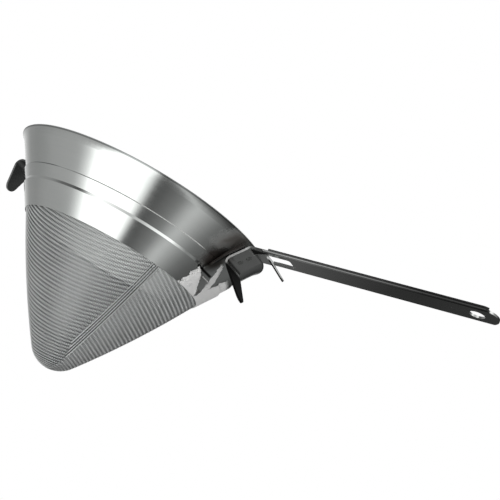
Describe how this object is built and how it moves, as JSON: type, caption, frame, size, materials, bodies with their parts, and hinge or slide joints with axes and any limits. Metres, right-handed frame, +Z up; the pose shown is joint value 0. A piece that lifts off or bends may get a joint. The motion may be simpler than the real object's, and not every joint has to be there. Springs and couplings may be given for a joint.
{
  "type": "chinois strainer",
  "caption": "Conical fine-mesh chinois strainer with a flared steel rim band, strap handle with a hanging hole, stop tab and pot hooks.",
  "frame": {"origin": "centre of the mouth, in the plane of the rim's edge", "axes": "+Z up the axis of the cone with the mouth up and the tip down, +X along the handle, the front hook on -X"},
  "size_m": [0.3963, 0.2, 0.1509],
  "materials": {
    "band_steel": "satin brushed around the cone",
    "mesh_steel": "woven bright wire",
    "handle_steel": "polished strip",
    "saddle_steel": "bright polished",
    "weld_steel": "dull pressed spot"
  },
  "bodies": {
    "root": {"rim_band": "band_steel", "clamp_band": "band_steel", "front_mesh_panel": "mesh_steel", "rear_mesh_panel": "mesh_steel", "handle": "handle_steel", "handle_saddle": "saddle_steel", "front_hook": "handle_steel", "handle_spot_welds": "weld_steel", "hook_spot_welds": "weld_steel"}
  },
  "joints": []
}
